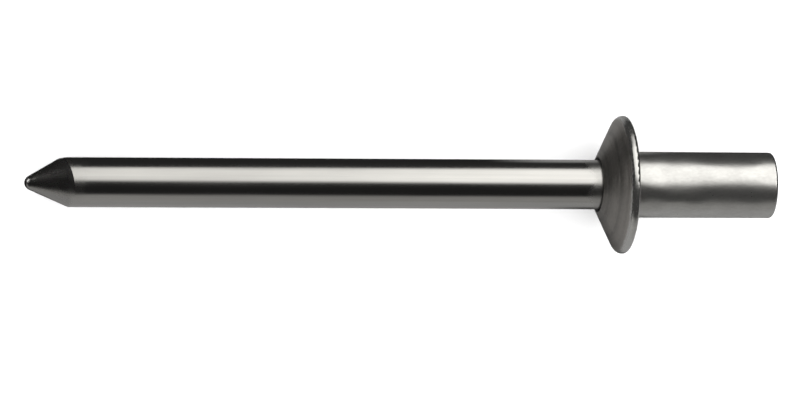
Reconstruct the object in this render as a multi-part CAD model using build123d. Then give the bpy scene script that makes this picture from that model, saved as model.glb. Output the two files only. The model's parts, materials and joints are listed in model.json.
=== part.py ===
from build123d import *
import os
from math import asin, atan2, cos, degrees, hypot, radians, sin, tan

# Closed-end blind rivet, 3.2 mm: an aluminium body, blind at one end, on a pointed steel mandrel.
#
# Lengths are millimetres. Each piece is drawn along its own axis, where x is 0 on the underside of the
# flange, grows towards the closed end and is negative along the mandrel. The rivet is then laid on the
# plane z = 0, on the rim of its flange and the edge of its point, as it comes to rest on a bench.

# rivet body: sleeve, closed end and domed flange, cold formed in one piece
body_diameter = 3.2
body_length = 7.28
end_round = 0.16
flange_overhang = 1.75
flange_height = 1.4
rim_thickness = 0.36
rim_face_round = 0.3
rim_underside_round = 0.15
underside_fillet = 0.06
nose_land = 0.15
nose_round = 0.05
recess_depth = 0.14
recess_width = 0.1
end_wall = 0.9
sleeve_wall = 0.26

# mandrel: stem, break neck and enclosed head
stem_reach = 28.25
stem_clearance = 0.02
head_step = 0.11
head_length = 1.5
head_clearance = 0.03
head_edge_round = 0.12
neck_diameter = 1.5
neck_flank = 0.42

# point of the mandrel, pinched off the wire a little out of true
point_half_angle = 26.6
point_end_radius = 0.37
point_lean = 3.2
point_offset = 0.13
point_rise = 0.05
shoulder_round = 1.6
shoulder_stand_off = 0.008

body_radius = body_diameter / 2
flange_radius = body_radius + flange_overhang
chamber_radius = body_radius - sleeve_wall
head_radius = chamber_radius - head_clearance
stem_radius = head_radius - head_step
neck_radius = neck_diameter / 2
bore_radius = stem_radius + stem_clearance
nose_radius = bore_radius + nose_land

nose_x = -flange_height
bore_end_x = body_length - end_wall
head_start_x = bore_end_x - head_length
neck_x = head_start_x - neck_flank
chamber_x = neck_x - neck_flank
point_x = nose_x - stem_reach

# how far the point's end lies in front of the place where its cone would reach the stem's radius
cone_slope = tan(radians(point_half_angle))
apex_gap = point_end_radius * (1 / sin(radians(point_half_angle)) - 1)
point_length = stem_radius / cone_slope - apex_gap
shoulder_x = point_x + point_length


def section(corners, rounds):
    """A closed outline through corners of (x, radius), with some of them rounded."""
    face = make_face(Polyline(*corners, close=True))
    for corner, radius in rounds:
        nearest = face.vertices().sort_by_distance(Vector(*corner))[0]
        face = fillet(nearest, radius)
    return face


def turned(outline):
    """The solid of revolution of an outline about the x axis."""
    return revolve(outline, axis=Axis.X)


def make_rivet_body():
    end_corner = (body_length, body_radius)
    root = (0, body_radius)
    rim_underside = (0, flange_radius)
    rim_face = (-rim_thickness, flange_radius)
    nose = (nose_x, nose_radius)
    recess_top = (nose_x, bore_radius + recess_width)
    recess_foot = (nose_x + recess_depth, bore_radius)
    corners = [
        (body_length, 0),
        end_corner,
        root,
        rim_underside,
        rim_face,
        nose,
        recess_top,
        recess_foot,
        (chamber_x - (chamber_radius - bore_radius), bore_radius),
        (chamber_x, chamber_radius),
        (bore_end_x, chamber_radius),
        (bore_end_x, 0),
    ]
    rounds = [
        (end_corner, end_round),
        (root, underside_fillet),
        (rim_underside, rim_underside_round),
        (rim_face, rim_face_round),
        (nose, nose_round),
    ]
    return turned(section(corners, rounds))


def make_point():
    """The pointed front of the stem, up to a little past its shoulder."""
    margin = 2 * stem_radius
    cone_reach = stem_radius / cone_slope + margin
    tangent = radians(point_half_angle)
    centre_x = point_end_radius / sin(tangent)
    touch = (centre_x - point_end_radius * sin(tangent), point_end_radius * cos(tangent))
    front = (centre_x - point_end_radius, 0)
    halfway = radians(point_half_angle) / 2
    middle = (centre_x - point_end_radius * cos(halfway), point_end_radius * sin(halfway))
    outline = make_face(
        ThreePointArc(front, middle, touch)
        + Line(touch, (cone_reach, cone_reach * cone_slope))
        + Line((cone_reach, cone_reach * cone_slope), (cone_reach, 0))
        + Line((cone_reach, 0), front)
    )
    # leans about the stem's centre at the shoulder, so its end drops towards -y
    apex_to_shoulder = stem_radius / cone_slope
    cone = Pos(shoulder_x, point_rise, -point_offset) * Rot(0, 0, point_lean) * Pos(-apex_to_shoulder, 0, 0)
    return cone * turned(outline)


def make_shoulder_die():
    """Everything under the roll that eases the shoulder on the +y side of the point."""
    lean = radians(point_lean)
    slope = radians(point_half_angle) + lean
    corner_x = shoulder_x - stem_radius * (sin(lean) - (1 - cos(lean)) / tan(slope))
    corner_x -= point_rise / tan(slope)
    centre = Vector(corner_x, stem_radius) + die_offset(slope / 2, shoulder_stand_off)
    centre -= die_offset(slope / 2, shoulder_round / cos(slope / 2))
    crest, middle, foot = (centre + die_offset(turn, shoulder_round) for turn in (0, slope / 2, slope))
    far = point_length + 2 * stem_radius
    front = foot - Vector(far, far * tan(slope))
    back = crest + Vector(far, 0)
    outline = make_face(
        Line(front, foot)
        + ThreePointArc(foot, middle, crest)
        + Line(crest, back)
        + Line(back, (back.X, front.Y))
        + Line((back.X, front.Y), front)
    )
    return extrude(outline, amount=2 * stem_radius, both=True)


def die_offset(turn, length):
    """A step of this length outwards from the point, turned from +y towards its end."""
    return Vector(-length * sin(turn), length * cos(turn))


def make_mandrel():
    head_edge = (bore_end_x, head_radius)
    join_x = shoulder_x + stem_radius
    corners = [
        (join_x, 0),
        (join_x, stem_radius),
        (chamber_x, stem_radius),
        (neck_x, neck_radius),
        (head_start_x, head_radius),
        head_edge,
        (bore_end_x, 0),
    ]
    shank = turned(section(corners, [(head_edge, head_edge_round)]))
    front_length = join_x - point_x + stem_radius
    front = Pos(join_x - front_length / 2, 0, 0) * Rot(0, 90, 0) * Cylinder(stem_radius, front_length)
    return shank + (front & make_point() & make_shoulder_die())


def resting_place():
    """Tilt and height that lay the rivet on z = 0, on the round of its rim and the edge of its point."""
    face_turn = atan2(flange_radius - nose_radius, flange_height - rim_thickness)
    rim_x = -rim_thickness + rim_face_round * tan(face_turn / 2)
    rim_radius = flange_radius - rim_face_round
    edge_x = shoulder_x - point_offset / cone_slope
    reach = rim_x - edge_x
    drop = rim_radius - stem_radius
    tilt = atan2(drop, reach) + asin(rim_face_round / hypot(drop, reach))
    height = rim_radius * cos(tilt) + rim_face_round - rim_x * sin(tilt)
    return tilt, height


os.makedirs("parts", exist_ok=True)
tilt, height = resting_place()
shift = -(point_x * cos(tilt) + body_length * cos(tilt) - body_radius * sin(tilt)) / 2
place = Pos(shift, 0, height) * Rot(0, -degrees(tilt), 0)
pieces = {"rivet_body": make_rivet_body(), "mandrel": make_mandrel()}
for name, piece in pieces.items():
    export_step(place * piece, f"parts/{name}.step")
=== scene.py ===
import json
import math

import bpy
from mathutils import Matrix, Vector


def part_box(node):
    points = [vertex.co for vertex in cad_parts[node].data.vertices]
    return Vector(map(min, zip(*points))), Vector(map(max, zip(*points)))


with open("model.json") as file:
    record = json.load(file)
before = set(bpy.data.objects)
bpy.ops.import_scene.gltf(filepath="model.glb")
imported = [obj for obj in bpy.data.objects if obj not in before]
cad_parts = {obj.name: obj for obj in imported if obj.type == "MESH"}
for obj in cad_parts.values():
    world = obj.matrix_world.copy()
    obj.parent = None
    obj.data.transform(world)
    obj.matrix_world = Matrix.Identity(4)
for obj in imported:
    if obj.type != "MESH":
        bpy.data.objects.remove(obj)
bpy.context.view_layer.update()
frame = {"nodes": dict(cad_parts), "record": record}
print("frame loaded", sorted(frame["nodes"]))

mm = 0.001
scene = bpy.context.scene
mounts = {mount["name"]: mount for mount in frame["record"]["mounts"]}

# the rivet's own axis starts under the flange, on the middle plane, and runs to the closed end
axis = Vector(mounts["flange_underside"]["axis"])
axisFoot = Vector(mounts["flange_underside"]["pos_m"])
axisFoot.y = 0
axisTilt = math.atan2(axis.z, axis.x)
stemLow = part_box("mandrel")[0]
bodyLow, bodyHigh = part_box("rivet_body")
tipX = (stemLow[0] - axisFoot.x) / axis.x
endX = (bodyHigh[0] - axisFoot.x) / axis.x
flangeRadius = (bodyHigh[1] - bodyLow[1]) / 2


def newMaterial(name):
    mat = bpy.data.materials.new(name)
    mat.use_nodes = True
    nodes = mat.node_tree.nodes
    return mat, mat.node_tree, nodes["Principled BSDF"]


def addNode(tree, kind, **values):
    node = tree.nodes.new(kind)
    for key, value in values.items():
        setattr(node, key, value)
    return node


def link(tree, source, target):
    tree.links.new(source, target)


def mapRange(tree, source, fromMin, fromMax, toMin=0.0, toMax=1.0, smooth=False):
    node = addNode(tree, "ShaderNodeMapRange", interpolation_type="SMOOTHSTEP" if smooth else "LINEAR")
    node.inputs["From Min"].default_value = fromMin
    node.inputs["From Max"].default_value = fromMax
    node.inputs["To Min"].default_value = toMin
    node.inputs["To Max"].default_value = toMax
    link(tree, source, node.inputs["Value"])
    return node.outputs["Result"]


def math2(tree, operation, first, second):
    node = addNode(tree, "ShaderNodeMath", operation=operation)
    for socket, value in zip(node.inputs, (first, second)):
        if isinstance(value, (int, float)):
            socket.default_value = value
        else:
            link(tree, value, socket)
    return node.outputs["Value"]


def mixColor(tree, mask, first, second):
    node = addNode(tree, "ShaderNodeMix", data_type="RGBA")
    link(tree, mask, node.inputs["Factor"])
    for socket, value in ((node.inputs[6], first), (node.inputs[7], second)):
        if isinstance(value, tuple):
            socket.default_value = (*value, 1)
        else:
            link(tree, value, socket)
    return node.outputs[2]


def newGroup(name, inputs, outputs):
    group = bpy.data.node_groups.new(name, "ShaderNodeTree")
    for label, kind, value in inputs:
        socket = group.interface.new_socket(label, in_out="INPUT", socket_type=kind)
        if value is not None:
            socket.default_value = value
    for label in outputs:
        group.interface.new_socket(label, in_out="OUTPUT", socket_type="NodeSocketFloat")
    return group, group.nodes.new("NodeGroupInput"), group.nodes.new("NodeGroupOutput")


def useGroup(tree, group, vector, **values):
    node = tree.nodes.new("ShaderNodeGroup")
    node.node_tree = group
    link(tree, vector, node.inputs["Vector"])
    for key, value in values.items():
        if isinstance(value, (int, float)):
            node.inputs[key].default_value = value
        else:
            link(tree, value, node.inputs[key])
    return node.outputs


# noise pulled out by Stretch along x: drawing lines, ripples, mottle and grain
def makeMetalGrain():
    group, start, end = newGroup(
        "metalGrain",
        [("Vector", "NodeSocketVector", None), ("Scale", "NodeSocketFloat", 900.0),
         ("Stretch", "NodeSocketFloat", 1.0), ("Detail", "NodeSocketFloat", 3.0)],
        ["Height", "Mask"])
    pull = addNode(group, "ShaderNodeCombineXYZ")
    link(group, start.outputs["Stretch"], pull.inputs["X"])
    pull.inputs["Y"].default_value = 1
    pull.inputs["Z"].default_value = 1
    pulled = addNode(group, "ShaderNodeVectorMath", operation="MULTIPLY")
    link(group, start.outputs["Vector"], pulled.inputs[0])
    link(group, pull.outputs["Vector"], pulled.inputs[1])
    noise = addNode(group, "ShaderNodeTexNoise")
    noise.inputs["Roughness"].default_value = 0.6
    link(group, pulled.outputs["Vector"], noise.inputs["Vector"])
    link(group, start.outputs["Scale"], noise.inputs["Scale"])
    link(group, start.outputs["Detail"], noise.inputs["Detail"])
    link(group, noise.outputs["Fac"], end.inputs["Height"])
    link(group, mapRange(group, noise.outputs["Fac"], 0.34, 0.66), end.inputs["Mask"])
    return group


# a band of rubbed metal, or of painted shade, where Place is within Width of Center, broken up by noise
def makeEdgeBand():
    group, start, end = newGroup(
        "edgeBand",
        [("Vector", "NodeSocketVector", None), ("Place", "NodeSocketFloat", 0.0),
         ("Center", "NodeSocketFloat", 0.0), ("Width", "NodeSocketFloat", 0.0001),
         ("Breakup", "NodeSocketFloat", 0.5), ("Scale", "NodeSocketFloat", 3000.0)],
        ["Mask"])
    offset = math2(group, "SUBTRACT", start.outputs["Place"], start.outputs["Center"])
    away = math2(group, "ABSOLUTE", offset, 0)
    near = math2(group, "SUBTRACT", 1, math2(group, "DIVIDE", away, start.outputs["Width"]))
    noise = addNode(group, "ShaderNodeTexNoise")
    noise.inputs["Detail"].default_value = 3
    link(group, start.outputs["Vector"], noise.inputs["Vector"])
    link(group, start.outputs["Scale"], noise.inputs["Scale"])
    swing = math2(group, "MULTIPLY", math2(group, "SUBTRACT", noise.outputs["Fac"], 0.5), 2)
    uneven = math2(group, "MULTIPLY", swing, start.outputs["Breakup"])
    mask = mapRange(group, math2(group, "ADD", near, uneven), 0, 0.6, smooth=True)
    link(group, mask, end.inputs["Mask"])
    return group


metalGrain = makeMetalGrain()
edgeBand = makeEdgeBand()


# x along the rivet's axis, and the distance from that axis, in metres
def axisCoordinates(tree):
    where = addNode(tree, "ShaderNodeTexCoord")
    moved = addNode(tree, "ShaderNodeVectorMath", operation="SUBTRACT")
    moved.inputs[1].default_value = axisFoot
    link(tree, where.outputs["Object"], moved.inputs[0])
    turn = addNode(tree, "ShaderNodeVectorRotate", rotation_type="Y_AXIS")
    turn.inputs["Angle"].default_value = axisTilt
    link(tree, moved.outputs["Vector"], turn.inputs["Vector"])
    split = addNode(tree, "ShaderNodeSeparateXYZ")
    link(tree, turn.outputs["Vector"], split.inputs["Vector"])
    squares = [math2(tree, "POWER", split.outputs[name], 2) for name in ("Y", "Z")]
    across = math2(tree, "ADD", *squares)
    return turn.outputs["Vector"], split.outputs["X"], math2(tree, "SQRT", across, 0)


def dress(node, material):
    node.data.materials.clear()
    node.data.materials.append(material)


mandrelLook = {
    "color": (0.66, 0.65, 0.625),
    "dullColor": (0.56, 0.55, 0.53),
    "pointColor": (0.50, 0.49, 0.47),
    "roughness": 0.16,
    "dullRoughness": 0.24,
    "pointRoughness": 0.3,
    "lineBump": 0.025,
    "lineHeight": 0.02 * mm,
    "rippleBump": 0.35,
    "rippleHeight": 0.06 * mm,
    "scuffRoughness": 0.14,
    "pointLength": 2.2 * mm,
    "noseX": -1.4 * mm,
}


def makeMandrelMaterial():
    look = mandrelLook
    mat, tree, shader = newMaterial("mandrelSteel")
    vector, alongAxis = axisCoordinates(tree)[:2]
    lines = useGroup(tree, metalGrain, vector, Scale=5200.0, Stretch=0.012, Detail=4.0)
    patches = useGroup(tree, metalGrain, vector, Scale=520.0, Stretch=0.25, Detail=3.0)
    ripple = useGroup(tree, metalGrain, vector, Scale=420.0, Stretch=0.35, Detail=1.0)
    dull = math2(tree, "MULTIPLY", math2(tree, "ADD", lines["Mask"], patches["Mask"]), 0.5)
    pointEnd = tipX + look["pointLength"]
    onPoint = mapRange(tree, alongAxis, pointEnd, tipX + look["pointLength"] * 0.9, smooth=True)
    shoulder = useGroup(tree, edgeBand, vector, Place=alongAxis, Center=tipX + look["pointLength"] * 1.1,
                        Width=0.5 * mm, Breakup=1.2, Scale=2500.0)
    scuff = useGroup(tree, edgeBand, vector, Place=alongAxis, Center=look["noseX"], Width=0.75 * mm,
                     Breakup=1.0, Scale=1500.0)
    color = mixColor(tree, dull, look["color"], look["dullColor"])
    link(tree, mixColor(tree, onPoint, color, look["pointColor"]), shader.inputs["Base Color"])
    plain = mapRange(tree, dull, 0, 1, look["roughness"], look["dullRoughness"])
    worn = math2(tree, "ADD", plain, math2(tree, "MULTIPLY", shoulder["Mask"], 0.05))
    worn = math2(tree, "ADD", worn, math2(tree, "MULTIPLY", scuff["Mask"], look["scuffRoughness"]))
    pointed = math2(tree, "MULTIPLY", onPoint, look["pointRoughness"] - look["dullRoughness"])
    link(tree, math2(tree, "ADD", worn, pointed), shader.inputs["Roughness"])
    lineBump = addNode(tree, "ShaderNodeBump")
    lineBump.inputs["Strength"].default_value = look["lineBump"]
    lineBump.inputs["Distance"].default_value = look["lineHeight"]
    link(tree, lines["Height"], lineBump.inputs["Height"])
    rippleBump = addNode(tree, "ShaderNodeBump")
    rippleBump.inputs["Strength"].default_value = look["rippleBump"]
    rippleBump.inputs["Distance"].default_value = look["rippleHeight"]
    link(tree, ripple["Height"], rippleBump.inputs["Height"])
    link(tree, lineBump.outputs["Normal"], rippleBump.inputs["Normal"])
    link(tree, rippleBump.outputs["Normal"], shader.inputs["Normal"])
    shader.inputs["Metallic"].default_value = 1
    return mat


bodyLook = {
    "color": (0.75, 0.745, 0.72),
    "dullColor": (0.63, 0.62, 0.60),
    # the flange face, duller and browner than the body: partly its own finish, partly painted shade
    "faceColor": (0.54, 0.51, 0.475),
    # painted shade: the flange face's colour by the mandrel's hole
    "faceShadeColor": (0.16, 0.155, 0.15),
    # painted shade for the ring round the mandrel's hole
    "noseShadeColor": (0.1, 0.1, 0.1),
    "metallic": 0.983,  # what is left over is the oxide skin
    "roughness": 0.27,
    "dullRoughness": 0.36,
    "faceRoughness": 0.46,
    "waveHeight": 0.2 * mm,
    "ringHeight": 0.05 * mm,
    "ringWander": 0.2 * mm,
    "grainBump": 0.14,
    "grainHeight": 0.015 * mm,
    "noseRadius": 1.37 * mm,
}


def makeBodyMaterial():
    look = bodyLook
    mat, tree, shader = newMaterial("bodyAluminium")
    vector, alongAxis, fromAxis = axisCoordinates(tree)
    waves = useGroup(tree, metalGrain, vector, Scale=430.0, Stretch=1.0, Detail=1.0)
    mottle = useGroup(tree, metalGrain, vector, Scale=1800.0, Stretch=0.7, Detail=4.0)
    grain = useGroup(tree, metalGrain, vector, Scale=9000.0, Stretch=0.5, Detail=3.0)
    onFace = mapRange(tree, alongAxis, -0.34 * mm, -0.5 * mm, smooth=True)
    dull = math2(tree, "MULTIPLY", math2(tree, "ADD", mottle["Mask"], grain["Mask"]), 0.5)
    rimWear = useGroup(tree, edgeBand, vector, Place=fromAxis, Center=flangeRadius, Width=0.22 * mm,
                       Breakup=0.8)
    endWear = useGroup(tree, edgeBand, vector, Place=alongAxis, Center=endX, Width=0.3 * mm, Breakup=1.0)
    # painted shade: a dark ring on the flange face round the mandrel's hole, where the recess lies in shade
    noseShade = useGroup(tree, edgeBand, vector, Place=fromAxis, Center=look["noseRadius"] - 0.12 * mm,
                        Width=0.14 * mm, Breakup=0.5)
    ringPlace = addNode(tree, "ShaderNodeCombineXYZ")
    link(tree, fromAxis, ringPlace.inputs["X"])
    link(tree, math2(tree, "MULTIPLY", waves["Height"], look["ringWander"]), ringPlace.inputs["Y"])
    rings = useGroup(tree, metalGrain, ringPlace.outputs["Vector"], Scale=2600.0, Stretch=1.0, Detail=2.0)
    # painted shade on the flange face, darkest by the mandrel's hole; the tool rings and mottle mixed in
    # are the face's own
    noseShadeFade = mapRange(tree, fromAxis, look["noseRadius"], flangeRadius * 0.9)
    faceShadeAndRings = math2(tree, "MULTIPLY", noseShadeFade, 0.45)
    faceShadeAndRings = math2(tree, "ADD", faceShadeAndRings, math2(tree, "MULTIPLY", rings["Mask"], 0.35))
    faceShadeAndRings = math2(tree, "ADD", faceShadeAndRings, math2(tree, "MULTIPLY", dull, 0.25))
    faceColor = mixColor(tree, faceShadeAndRings, look["faceShadeColor"], look["faceColor"])
    paintedNoseShade = math2(tree, "MULTIPLY", noseShade["Mask"], onFace)
    faceColor = mixColor(tree, paintedNoseShade, faceColor, look["noseShadeColor"])
    plainColor = mixColor(tree, dull, look["color"], look["dullColor"])
    color = mixColor(tree, onFace, plainColor, faceColor)
    wear = math2(tree, "MAXIMUM", rimWear["Mask"], endWear["Mask"])
    rubbed = math2(tree, "MULTIPLY", wear, 0.6)
    link(tree, mixColor(tree, rubbed, color, look["color"]), shader.inputs["Base Color"])
    plain = mapRange(tree, dull, 0, 1, look["roughness"], look["dullRoughness"])
    faced = math2(tree, "MULTIPLY", onFace, look["faceRoughness"] - look["dullRoughness"])
    smoothed = math2(tree, "MULTIPLY", wear, -0.08)
    link(tree, math2(tree, "ADD", math2(tree, "ADD", plain, faced), smoothed), shader.inputs["Roughness"])
    waveBump = addNode(tree, "ShaderNodeBump")
    waveBump.inputs["Strength"].default_value = 1
    waveBump.inputs["Distance"].default_value = look["waveHeight"]
    link(tree, waves["Height"], waveBump.inputs["Height"])
    ringBump = addNode(tree, "ShaderNodeBump")
    ringBump.inputs["Distance"].default_value = look["ringHeight"]
    link(tree, onFace, ringBump.inputs["Strength"])
    link(tree, rings["Height"], ringBump.inputs["Height"])
    link(tree, waveBump.outputs["Normal"], ringBump.inputs["Normal"])
    grainBump = addNode(tree, "ShaderNodeBump")
    grainBump.inputs["Strength"].default_value = look["grainBump"]
    grainBump.inputs["Distance"].default_value = look["grainHeight"]
    link(tree, grain["Height"], grainBump.inputs["Height"])
    link(tree, ringBump.outputs["Normal"], grainBump.inputs["Normal"])
    link(tree, grainBump.outputs["Normal"], shader.inputs["Normal"])
    shader.inputs["Metallic"].default_value = look["metallic"]
    return mat


dress(frame["nodes"]["mandrel"], makeMandrelMaterial())
dress(frame["nodes"]["rivet_body"], makeBodyMaterial())
print("materials done")

viewTilt = math.radians(12.3)  # the camera leans this far towards the point's side
axisTurn = Matrix.Rotation(-axisTilt, 3, "Y")
lookBack = axisTurn @ Vector((-math.sin(viewTilt), 0, math.cos(viewTilt)))

# cards are seen by reflections alone; angles turn from straight up towards +y, x is along the table
cards = {
    "softBox": {
        "angles": (4, 77), "twist": -14, "distance": 70 * mm, "x": (-30 * mm, 70 * mm),
        "strength": 1.58, "color": (1, 0.993, 0.97), "edges": (0.22, 0.2), "ends": (0.68, 1.0),
    },
    "greyBoard": {
        "angles": (-51, -93), "twist": 0, "distance": 70 * mm, "x": (-60 * mm, 90 * mm),
        "strength": 0.35, "color": (1, 0.99, 0.965), "edges": (0.4, 0.0), "ends": (1.0, 0.76),
    },
}
tipLight = {
    "direction": (-0.865, 0.449, 0.223),  # right, up and back, as the camera sees it
    "distance": 12 * mm,
    "size": 7 * mm,
    "strength": 2.2,
}


def finishCard(name, mesh, color, strength):
    card = bpy.data.objects.new(name, mesh)
    scene.collection.objects.link(card)
    mat = bpy.data.materials.new(name)
    mat.use_nodes = True
    tree = mat.node_tree
    tree.nodes.clear()
    glow = addNode(tree, "ShaderNodeEmission")
    glow.inputs["Color"].default_value = (*color, 1)
    glow.inputs["Strength"].default_value = strength
    out = addNode(tree, "ShaderNodeOutputMaterial")
    link(tree, glow.outputs["Emission"], out.inputs["Surface"])
    mesh.materials.append(mat)
    card.visible_camera = False
    card.visible_diffuse = False
    card.visible_shadow = False
    card.visible_transmission = False
    return tree, glow


def makeCard(name, settings):
    low, high = settings["angles"]
    left, right = settings["x"]
    corners = []
    for x, angle in ((left, low), (right, low + settings["twist"]), (right, high), (left, high)):
        turn = math.radians(angle)
        reach = settings["distance"]
        corners.append((x, reach * math.sin(turn), axisFoot.z + reach * math.cos(turn)))
    mesh = bpy.data.meshes.new(name)
    mesh.from_pydata(corners, [], [(0, 1, 2, 3)])
    uv = mesh.uv_layers.new(name="card")
    for loop, corner in zip(uv.data, ((0, 0), (1, 0), (1, 1), (0, 1))):
        loop.uv = corner
    tree, glow = finishCard(name, mesh, settings["color"], settings["strength"])
    where = addNode(tree, "ShaderNodeTexCoord")
    split = addNode(tree, "ShaderNodeSeparateXYZ")
    link(tree, where.outputs["UV"], split.inputs["Vector"])
    along, across = split.outputs["X"], split.outputs["Y"]
    nearEdge, farEdge = settings["edges"]
    fade = mapRange(tree, across, 0, max(nearEdge, 0.001), smooth=True)
    fade = math2(tree, "MULTIPLY", fade, mapRange(tree, across, 1, 1 - max(farEdge, 0.001), 0.45, 1))
    ends = mapRange(tree, along, 0.25, 0.6, *settings["ends"])
    strength = math2(tree, "MULTIPLY", math2(tree, "MULTIPLY", fade, ends), settings["strength"])
    link(tree, strength, glow.inputs["Strength"])


for cardName, cardSettings in cards.items():
    makeCard(cardName, cardSettings)


# a small light off the point, seen in its rounded end
def makeTipLight():
    look = tipLight
    up = Vector((0, 1, 0))
    steps = zip((up.cross(lookBack), up, lookBack), look["direction"])
    toLight = sum((way * share for way, share in steps), Vector())
    place = axisFoot + axis * tipX + toLight * look["distance"]
    turn = toLight.to_track_quat("Z", "Y").to_matrix()
    half = look["size"] / 2
    mesh = bpy.data.meshes.new("tipLight")
    square = ((-half, -half), (half, -half), (half, half), (-half, half))
    mesh.from_pydata([place + turn @ Vector((x, y, 0)) for x, y in square], [], [(0, 1, 2, 3)])
    finishCard("tipLight", mesh, (1, 1, 1), look["strength"])


makeTipLight()

# the table is white paper to the camera; glossy rays see a painted reflection of it instead: painted dark
# on the lit side, grey painted shade on the near side, a painted light patch in front of the flange and a
# painted shadow where the flange shades it
tableLook = {
    "size": 400 * mm,
    "white": 0.96,
    "farSide": 0.02,
    "nearSide": 0.33,
    "paintedLightByFlange": 0.34,
    "patch": 5.5 * mm,
    "contact": 0.2,
}


def makeTable():
    look = tableLook
    size = look["size"]
    mesh = bpy.data.meshes.new("table")
    corners = [(-size, -size, 0), (size, -size, 0), (size, size, 0), (-size, size, 0)]
    mesh.from_pydata(corners, [], [(0, 1, 2, 3)])
    table = bpy.data.objects.new("table", mesh)
    scene.collection.objects.link(table)
    mat, tree, shader = newMaterial("tablePaper")
    grain = addNode(tree, "ShaderNodeTexNoise")
    grain.inputs["Scale"].default_value = 900
    where = addNode(tree, "ShaderNodeNewGeometry")
    link(tree, where.outputs["Position"], grain.inputs["Vector"])
    tone = mapRange(tree, grain.outputs["Fac"], 0.3, 0.7, look["white"] - 0.01, look["white"])
    link(tree, tone, shader.inputs["Base Color"])
    shader.inputs["Roughness"].default_value = 1
    shader.inputs["Specular IOR Level"].default_value = 0
    split = addNode(tree, "ShaderNodeSeparateXYZ")
    link(tree, where.outputs["Position"], split.inputs["Vector"])
    side = mapRange(tree, split.outputs["Y"], -0.9 * mm, -1.8 * mm, look["farSide"], look["nearSide"])
    # painted light patch, seen only in reflections, just in front of the flange
    away = addNode(tree, "ShaderNodeVectorMath", operation="DISTANCE")
    away.inputs[1].default_value = (axisFoot.x - 1 * mm, flangeRadius, 0)  # just in front of the flange
    link(tree, where.outputs["Position"], away.inputs[0])
    patch = mapRange(tree, away.outputs["Value"], look["patch"], look["patch"] * 0.2, 0, look["paintedLightByFlange"],
                     smooth=True)
    near = addNode(tree, "ShaderNodeVectorMath", operation="DISTANCE")
    near.inputs[1].default_value = (axisFoot.x, -flangeRadius * 0.9, 0)  # where the flange shades the table
    link(tree, where.outputs["Position"], near.inputs[0])
    shade = mapRange(tree, near.outputs["Value"], 0.8 * mm, 3.6 * mm, look["contact"], 1, smooth=True)
    seen = addNode(tree, "ShaderNodeEmission")
    link(tree, math2(tree, "MULTIPLY", math2(tree, "MAXIMUM", side, patch), shade), seen.inputs["Strength"])
    path = addNode(tree, "ShaderNodeLightPath")
    mix = addNode(tree, "ShaderNodeMixShader")
    link(tree, path.outputs["Is Glossy Ray"], mix.inputs["Fac"])
    link(tree, shader.outputs["BSDF"], mix.inputs[1])
    link(tree, seen.outputs["Emission"], mix.inputs[2])
    link(tree, mix.outputs["Shader"], tree.nodes["Material Output"].inputs["Surface"])
    mesh.materials.append(mat)


makeTable()

roomLight = {"white": 1.85, "reflected": 0.016}


def makeWorld():
    world = bpy.data.worlds.new("studio")
    scene.world = world
    world.use_nodes = True
    tree = world.node_tree
    white = tree.nodes["Background"]
    white.inputs["Color"].default_value = (1, 1, 1, 1)
    white.inputs["Strength"].default_value = roomLight["white"]
    dark = addNode(tree, "ShaderNodeBackground")
    dark.inputs["Strength"].default_value = roomLight["reflected"]
    path = addNode(tree, "ShaderNodeLightPath")
    mix = addNode(tree, "ShaderNodeMixShader")
    link(tree, path.outputs["Is Glossy Ray"], mix.inputs["Fac"])
    link(tree, white.outputs["Background"], mix.inputs[1])
    link(tree, dark.outputs["Background"], mix.inputs[2])
    link(tree, mix.outputs["Shader"], tree.nodes["World Output"].inputs["Surface"])


makeWorld()
print("stage done")

camera = {"distance": 0.6, "frameWidth": 38.68 * mm, "aim": -11.20 * mm, "drop": 0.79 * mm, "roll": 0.25}


def placeCamera():
    cam = bpy.data.objects.new("camera", bpy.data.cameras.new("camera"))
    scene.collection.objects.link(cam)
    scene.camera = cam
    up = Vector((0, 1, 0))
    aim = axisFoot + axis * camera["aim"] - up * camera["drop"]
    turn = Matrix((up.cross(lookBack).normalized(), up, lookBack)).transposed().to_4x4()
    roll = Matrix.Rotation(math.radians(camera["roll"]), 4, "Z")
    cam.matrix_world = Matrix.Translation(aim + lookBack * camera["distance"]) @ turn @ roll
    cam.data.sensor_width = 36
    cam.data.lens = 36 * camera["distance"] / camera["frameWidth"]
    cam.data.clip_start = 0.01
    cam.data.clip_end = 5


placeCamera()
scene.view_settings.view_transform = "Standard"
print("camera done")
